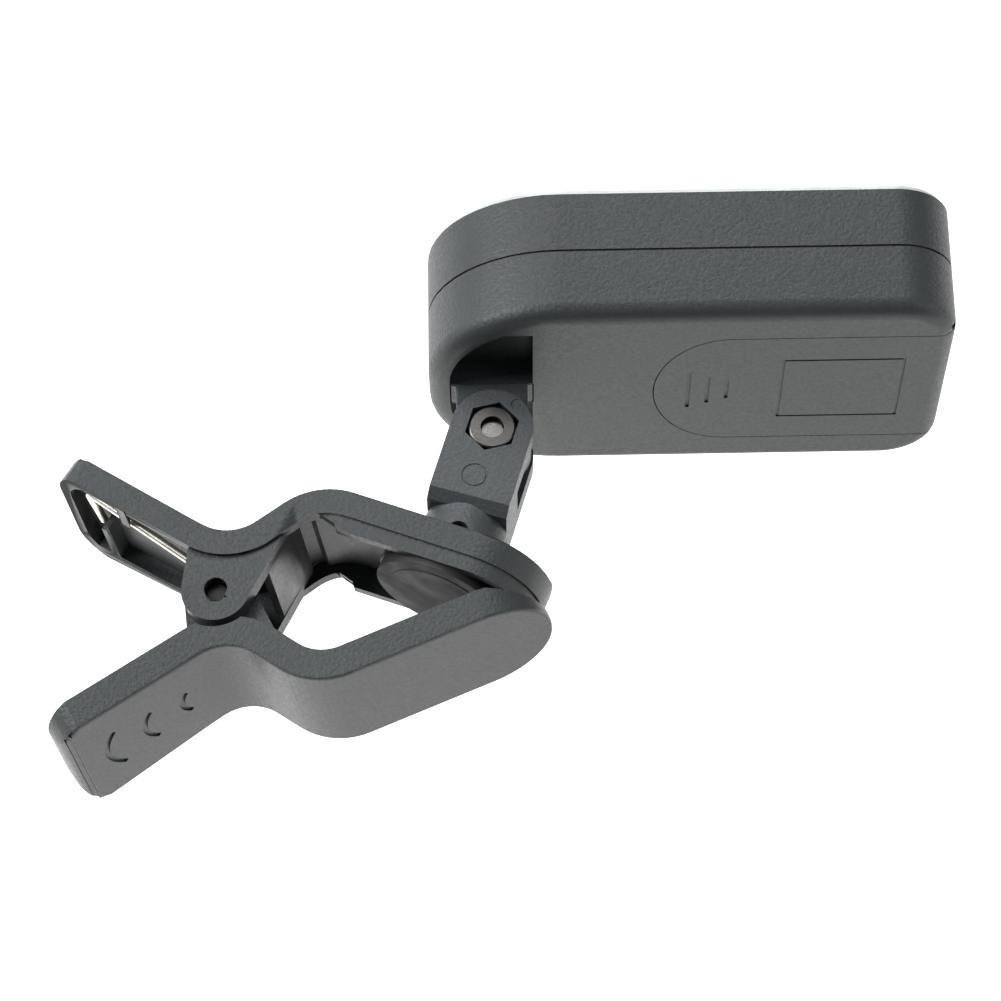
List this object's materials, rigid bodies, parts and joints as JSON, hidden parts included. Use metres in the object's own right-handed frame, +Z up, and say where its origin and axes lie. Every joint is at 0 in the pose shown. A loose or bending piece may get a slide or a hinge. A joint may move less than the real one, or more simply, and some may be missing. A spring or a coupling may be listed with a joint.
{
  "type": "clip-on instrument tuner",
  "caption": "Sprung clip with rubber-padded jaws carrying a swivelling, tilting neck and a rounded display head with a sliding battery door.",
  "frame": {"origin": "centre of the upper pad's gripping face, midway between the clip's two sides", "axes": "+Z along the pivot pin towards the side that shows the hinge nut, +X from the pivot to the mouth of the clip along its middle plane, +Y towards the jaw that carries the neck and head; the object lies on its side when +Z is up"},
  "size_m": [0.0973, 0.0599, 0.0377],
  "materials": {
    "clip_plastic": "charcoal injection-moulded ABS, satin outside, fine grain on the sides",
    "neck_plastic": "charcoal injection-moulded ABS, fine spark-eroded grain",
    "case_plastic": "charcoal injection-moulded ABS, satin back, grained sides",
    "steel": "zinc-plated steel",
    "spring_steel": "bright drawn spring wire",
    "pad_rubber": "soft black rubber",
    "cell_steel": "nickel-plated can",
    "contact_metal": "spring bronze strip",
    "board_green": "glass-epoxy board with solder mask",
    "switch_plastic": "black moulded",
    "lcd_glass": "grey-green display glass",
    "guide_acrylic": "clear to milky acrylic",
    "zebra_rubber": "layered elastomer",
    "lens_plastic": "smoked acrylic, polished",
    "piezo_brass": "brass disc with ceramic",
    "key_plastic": "semi-gloss moulded"
  },
  "bodies": {
    "upper_jaw": {"upper_jaw": "clip_plastic", "upper_pad": "pad_rubber", "pivot_pin": "steel", "torsion_spring": "spring_steel"},
    "lower_jaw": {"lower_jaw": "clip_plastic", "lower_pad": "pad_rubber"},
    "neck": {"neck_fork": "neck_plastic", "hinge_screw": "steel", "hinge_nut": "steel", "swivel_screw": "steel"},
    "head": {"rear_case": "case_plastic", "front_case": "case_plastic", "hinge_lug": "neck_plastic", "coin_cell": "cell_steel", "contact_minus": "contact_metal", "contact_plus": "contact_metal", "circuit_board": "board_green", "button_switches": "switch_plastic", "lcd_panel": "lcd_glass", "light_guide": "guide_acrylic", "zebra_strip": "zebra_rubber", "display_lens": "lens_plastic", "piezo_disc": "piezo_brass", "case_screws": "steel"},
    "battery_door": {"battery_door": "case_plastic"},
    "power_button": {"power_button": "key_plastic"},
    "mode_button": {"mode_button": "key_plastic"}
  },
  "joints": [
    {"name": "jaw_open", "type": "hinge", "parent": "upper_jaw", "child": "lower_jaw", "pos_m": [-0.02273, -0.00141, 0], "axis": [0, 0, -1], "range_deg": [0, 28], "stiffness_Nm_per_rad": 0.1, "springref_deg": -63.03, "deforming": ["torsion_spring"]},
    {"name": "neck_swivel", "type": "hinge", "parent": "upper_jaw", "child": "neck", "pos_m": [0.00587, 0.01799, 0], "axis": [0.2807, 0.9598, 0], "range_deg": [-95, 85]},
    {"name": "head_tilt", "type": "hinge", "parent": "neck", "child": "head", "pos_m": [0.00587, 0.01799, 0], "axis": [-0.0953, 0.0279, -0.9951], "range_deg": [-75, 75]},
    {"name": "power_press", "type": "slide", "parent": "head", "child": "power_button", "axis": [0.0126, -0.9995, -0.0292], "range_m": [0, 0.0005], "stiffness_N_per_m": 60, "springref_m": -0.001},
    {"name": "mode_press", "type": "slide", "parent": "head", "child": "mode_button", "axis": [0.0126, -0.9995, -0.0292], "range_m": [0, 0.0005], "stiffness_N_per_m": 60, "springref_m": -0.001},
    {"name": "door_slide", "type": "slide", "parent": "head", "child": "battery_door", "axis": [0.9954, 0.0153, -0.0949], "range_m": [0, 0.033]}
  ]
}
